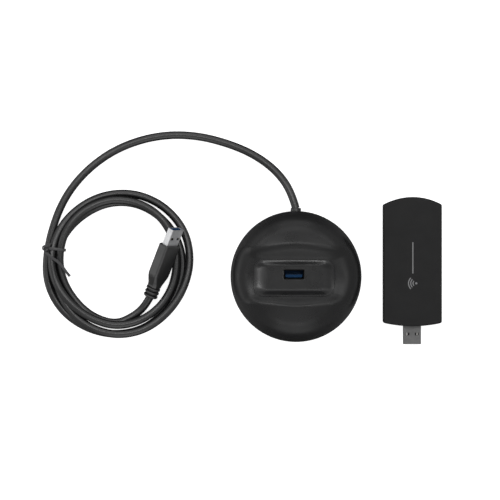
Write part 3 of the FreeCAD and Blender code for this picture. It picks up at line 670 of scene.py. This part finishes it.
# --------------------------------------------------------------- twist tie
def sweep(name, pts, ups, w, t, mat, closed=False, r=0.35, taper=None):
    """Flat strip w wide and t thick along pts. ups are the strip's face normals."""
    pts = [Vector(p) for p in pts]
    n = len(pts)
    sec = []
    for sx, sy in ((1, 1), (-1, 1), (-1, -1), (1, -1)):
        cx, cy = sx * (w / 2 - r * t), sy * (t / 2 - r * t)
        a0 = {(1, 1): 0, (-1, 1): 90, (-1, -1): 180, (1, -1): 270}[(sx, sy)]
        for k in range(4):
            a = math.radians(a0 + 30 * k)
            sec.append((cx + r * t * math.cos(a), cy + r * t * math.sin(a)))
    v = []
    for i in range(n):
        a = pts[(i - 1) % n] if (closed or i > 0) else pts[i]
        b = pts[(i + 1) % n] if (closed or i < n - 1) else pts[i]
        d = (b - a).normalized()
        up = Vector(ups[i])
        up = (up - d * up.dot(d)).normalized()
        side = d.cross(up)
        k = 1.0 if taper is None else taper[i]
        for x, y in sec:
            v.append((pts[i] + side * x * k + up * y * k) * MM)
    m = len(sec)
    f = ring_faces(n, m, closed_rings=closed)
    if not closed:
        f.append(tuple(reversed(range(m))))
        f.append(tuple((n - 1) * m + i for i in range(m)))
    return mesh_object(name, v, f, mat)


def catmull(pts, n=8):
    pts = [Vector(p) for p in pts]
    q = []
    ext = [pts[0] * 2 - pts[1]] + pts + [pts[-1] * 2 - pts[-2]]
    for i in range(1, len(ext) - 2):
        p0, p1, p2, p3 = ext[i - 1], ext[i], ext[i + 1], ext[i + 2]
        for k in range(n):
            t = k / n
            q.append(0.5 * ((2 * p1) + (p2 - p0) * t + (2 * p0 - 5 * p1 + 4 * p2 - p3) * t * t
                            + (3 * p1 - p0 - 3 * p2 + p3) * t**3))
    q.append(pts[-1])
    return q


TIE_A = math.radians(166.5)
e_r = Vector((math.cos(TIE_A), math.sin(TIE_A), 0))
e_t = Vector((-math.sin(TIE_A), math.cos(TIE_A), 0))
coil_c = Vector((-120.0, 8.3, 0))
# the band's line round the four strands, as (distance from the coil's middle, height)
band_rz = [(44.8, 0.32), (40.6, 0.32), (38.4, 1.2), (37.2, 4.0), (36.5, 7.0), (37.2, 10.0), (39.4, 11.15),
           (42.2, 10.95), (45.2, 10.85), (47.8, 9.6), (50.2, 6.4), (51.9, 3.6), (51.5, 1.2), (49.2, 0.32)]


def closed_smooth(pts, times=3):
    for _ in range(times):
        q = []
        for i in range(len(pts)):
            a, b = pts[i], pts[(i + 1) % len(pts)]
            q.append((a[0] * 0.75 + b[0] * 0.25, a[1] * 0.75 + b[1] * 0.25))
            q.append((a[0] * 0.25 + b[0] * 0.75, a[1] * 0.25 + b[1] * 0.75))
        pts = q
    return pts


loop = closed_smooth(band_rz)
mid_r = sum(p[0] for p in loop) / len(loop)
mid_z = sum(p[1] for p in loop) / len(loop)
band_pts, band_up = [], []
for i, (r, z) in enumerate(loop):
    lean = 0.9 * math.sin((r - 44.0) / 7.0)
    band_pts.append(coil_c + e_r * r + e_t * lean + Vector((0, 0, z)))
    band_up.append(e_r * (r - mid_r) * 0.6 + Vector((0, 0, z - mid_z)))
band = sweep("tie_band", band_pts, band_up, 1.9, 0.55, M["tie_plastic"], closed=True)

knot_a = catmull([(-165.6, 20.9, 10.4), (-168.3, 20.6, 9.6), (-170.2, 20.3, 8.6), (-171.2, 19.3, 8.0),
                  (-170.6, 18.2, 7.6), (-169.2, 18.0, 8.3), (-168.3, 18.8, 9.3)], 8)
knot_b = catmull([(-168.6, 19.6, 9.4), (-169.4, 18.6, 8.2), (-169.2, 17.3, 8.0), (-168.4, 16.3, 9.4),
                  (-167.5, 15.5, 11.0), (-166.4, 14.4, 11.9), (-163.9, 12.4, 12.15), (-161.0, 10.4, 12.1),
                  (-158.8, 8.3, 11.9), (-156.9, 6.1, 11.7), (-154.6, 3.0, 11.2), (-152.3, 0.1, 10.6)], 8)
knot_c = catmull([(-167.2, 18.4, 10.6), (-169.0, 17.4, 9.4), (-169.8, 18.9, 8.4), (-168.8, 20.9, 8.9),
                  (-167.0, 21.9, 10.0), (-165.2, 21.6, 10.9)], 8)


def strip_up(pts, turns, phase=0.0):
    out = []
    n = len(pts)
    for i in range(n):
        a = phase + turns * 2 * math.pi * i / (n - 1)
        d = (pts[min(i + 1, n - 1)] - pts[max(i - 1, 0)]).normalized()
        up = Vector((0, 0, 1))
        up = (up - d * up.dot(d)).normalized()
        out.append(Matrix.Rotation(a, 3, d) @ up)
    return out


tie_bits = [
    band,
    sweep("tie_knot_a", knot_a, strip_up(knot_a, 0.45), 1.5, 0.6, M["tie_plastic"]),
    sweep("tie_tail", knot_b, strip_up(knot_b, 0.0, 0.15), 1.8, 0.6, M["tie_plastic"]),
    sweep("tie_knot_c", knot_c, strip_up(knot_c, 0.35, 0.4), 1.45, 0.6, M["tie_plastic"]),
]
for ob in tie_bits:
    sharp(ob, 60)
    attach(ob, "cradle")
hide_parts("twist_tie")


cord.data.materials.append(M["cord_jacket"])
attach(cord, "cradle")
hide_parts("cord_lead", "cord_coil", "cord_tail")


# ---------------------------------------------------- printed mark on stick
# a plain signal symbol and a rule, in place of any printed name
def plate(name, outline, z0, z1, mat):
    n = len(outline)
    v = [(x * MM, y * MM, z0 * MM) for x, y in outline] + [(x * MM, y * MM, z1 * MM) for x, y in outline]
    f = [tuple(reversed(range(n))), tuple(range(n, 2 * n))]
    f += [(i, (i + 1) % n, n + (i + 1) % n, n + i) for i in range(n)]
    return mesh_object(name, v, f, mat, smooth=False)


def arc_band(cx, cy, r, w, a0, a1, n=28):
    o = []
    for i in range(n + 1):
        a = math.radians(a0 + (a1 - a0) * i / n)
        o.append((cx + (r + w / 2) * math.cos(a), cy + (r + w / 2) * math.sin(a)))
    for i in range(n, -1, -1):
        a = math.radians(a0 + (a1 - a0) * i / n)
        o.append((cx + (r - w / 2) * math.cos(a), cy + (r - w / 2) * math.sin(a)))
    return o


def disc(cx, cy, r, n=36):
    return [(cx + r * math.cos(2 * math.pi * i / n), cy + r * math.sin(2 * math.pi * i / n)) for i in range(n)]


MZ0, MZ1 = 14.99, 15.03
mark = [plate("mark_dot", disc(80.9, -4.6, 0.75), MZ0, MZ1, mark_mat)]
for k, r in enumerate((2.2, 3.7, 5.2)):
    mark.append(plate("mark_arc_%d" % (k + 1), arc_band(80.9, -4.6, r, 0.75, 135, 225), MZ0, MZ1, mark_mat))
mark.append(plate("mark_rule", [(78.2, 2.0), (79.0, 2.0), (79.0, 23.0), (78.2, 23.0)], MZ0, MZ1, mark_mat))
for ob in mark:
    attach(ob, "adapter")


# ------------------------------------------------------- floor and lighting
W_UP, W_LOW, W_SIDE = 0.41, 0.03, 0.51
GLOW = 0.80
KICKERS = [
    ("kick_right", 0, 52, 0.6, 0.25, 7.0),
    ("kick_front", -90, 12, 0.9, 0.3, 8.0),
]
LIGHTS = [
    ("back_top", 90, 78, 0.8, 0.2, 1.5),
    ("back_high", 90, 66, 0.8, 0.5, 0.3),
    ("back_mid", 90, 42, 0.9, 0.55, 1.7),
    ("back_low", 90, 16, 1.0, 0.6, 1.2),
    ("front_high", -90, 66, 0.8, 0.5, 0.5),
    ("front_mid", -90, 42, 0.9, 0.55, 1.6),
    ("front_low", -90, 16, 1.0, 0.6, 1.4),
    ("left_high", 180, 66, 0.8, 0.5, 0.3),
    ("left_mid", 180, 42, 0.9, 0.55, 0.4),
    ("left_low", 180, 16, 1.0, 0.6, 1.9),
    ("right_high", 0, 66, 0.8, 0.5, 1.2),
    ("back_right_high", 45, 66, 0.5, 0.5, 0.8),
    ("back_right_mid", 45, 42, 0.6, 0.5, 1.0),
    ("back_right_low", 45, 16, 0.7, 0.5, 0.2),
    ("back_left_high", 135, 66, 0.5, 0.5, 1.5),
    ("back_left_mid", 135, 42, 0.6, 0.5, 1.2),
    ("back_left_low", 135, 16, 0.7, 0.5, 0.6),
]
fl_mat, nt, bsdf, tc = new_mat("floor")
bsdf.inputs["Roughness"].default_value = 0.9
bsdf.inputs["Specular IOR Level"].default_value = 0.1
bsdf.inputs["Emission Color"].default_value = (1.0, 1.0, 1.0, 1.0)
bsdf.inputs["Emission Strength"].default_value = GLOW
nt.links.new(ramp(nt, noise(nt, tc.outputs["Object"], 6.0, 3.0), (0.885, 0.885, 0.885), (0.90, 0.90, 0.90)),
             bsdf.inputs["Base Color"])
floor = mesh_object("floor", [(-3, -3, -0.00006), (3, -3, -0.00006), (3, 3, -0.00006), (-3, 3, -0.00006)],
                    [(0, 1, 2, 3)], fl_mat, smooth=False, closed=False)

# the table doesn't mirror in the dark plastic: below the horizon it sees a dim grey
floor.visible_glossy = False
world = bpy.data.worlds.new("studio")
world.use_nodes = True
wnt = world.node_tree
back = wnt.nodes["Background"]
back.inputs["Color"].default_value = (1.0, 1.0, 1.0, 1.0)
wtc = wnt.nodes.new("ShaderNodeTexCoord")
wsep = wnt.nodes.new("ShaderNodeSeparateXYZ")
wnt.links.new(wtc.outputs["Generated"], wsep.inputs[0])

def wmath(op, a, b):
    n = wnt.nodes.new("ShaderNodeMath")
    n.operation = op
    for i, v in enumerate((a, b)):
        if isinstance(v, float):
            n.inputs[i].default_value = v
        else:
            wnt.links.new(v, n.inputs[i])
    return n.outputs[0]


# two low side cards: brighter towards the left and right, darker to the front and back
cards = wmath("MULTIPLY", wmath("MULTIPLY", wsep.outputs["X"], wsep.outputs["X"]), W_SIDE)
below = wmath("ADD", cards, W_LOW)
up_mask = remap(wnt, wsep.outputs["Z"], 0.0, 1.0, -0.08, 0.08)
low_part = wmath("MULTIPLY", below, wmath("SUBTRACT", 1.0, up_mask))
wnt.links.new(wmath("ADD", low_part, wmath("MULTIPLY", up_mask, W_UP)), back.inputs["Strength"])
scene.world = world


def area(name, azimuth, elevation, sx, sy, watts):
    """Softbox 1.5 m from the object's middle, facing it."""
    la = bpy.data.lights.new(name, "AREA")
    la.shape = "RECTANGLE"
    la.size = sx
    la.size_y = sy
    la.energy = watts
    ob = bpy.data.objects.new(name, la)
    a, e = math.radians(azimuth), math.radians(elevation)
    d = Vector((math.cos(e) * math.cos(a), math.cos(e) * math.sin(a), math.sin(e)))
    ob.location = Vector((-0.03, 0.0178, 0.02)) + d * 1.5
    ob.rotation_euler = (-d).to_track_quat("-Z", "Y").to_euler()
    ob.visible_camera = False
    scene.collection.objects.link(ob)
    return ob


for name, azimuth, elevation, sx, sy, watts in LIGHTS:
    area(name, azimuth, elevation, sx, sy, watts)
# two small kickers that only reach the pocket tray, to bring out its walls
tray_only = bpy.data.collections.new("tray_only")
tray_only.objects.link(cradle_tray)
for name, azimuth, elevation, sx, sy, watts in KICKERS:
    area(name, azimuth, elevation, sx, sy, watts).light_linking.receiver_collection = tray_only

scene.view_settings.view_transform = "Standard"
scene.view_settings.look = "None"
scene.view_settings.exposure = 0.0
scene.view_settings.gamma = 1.0
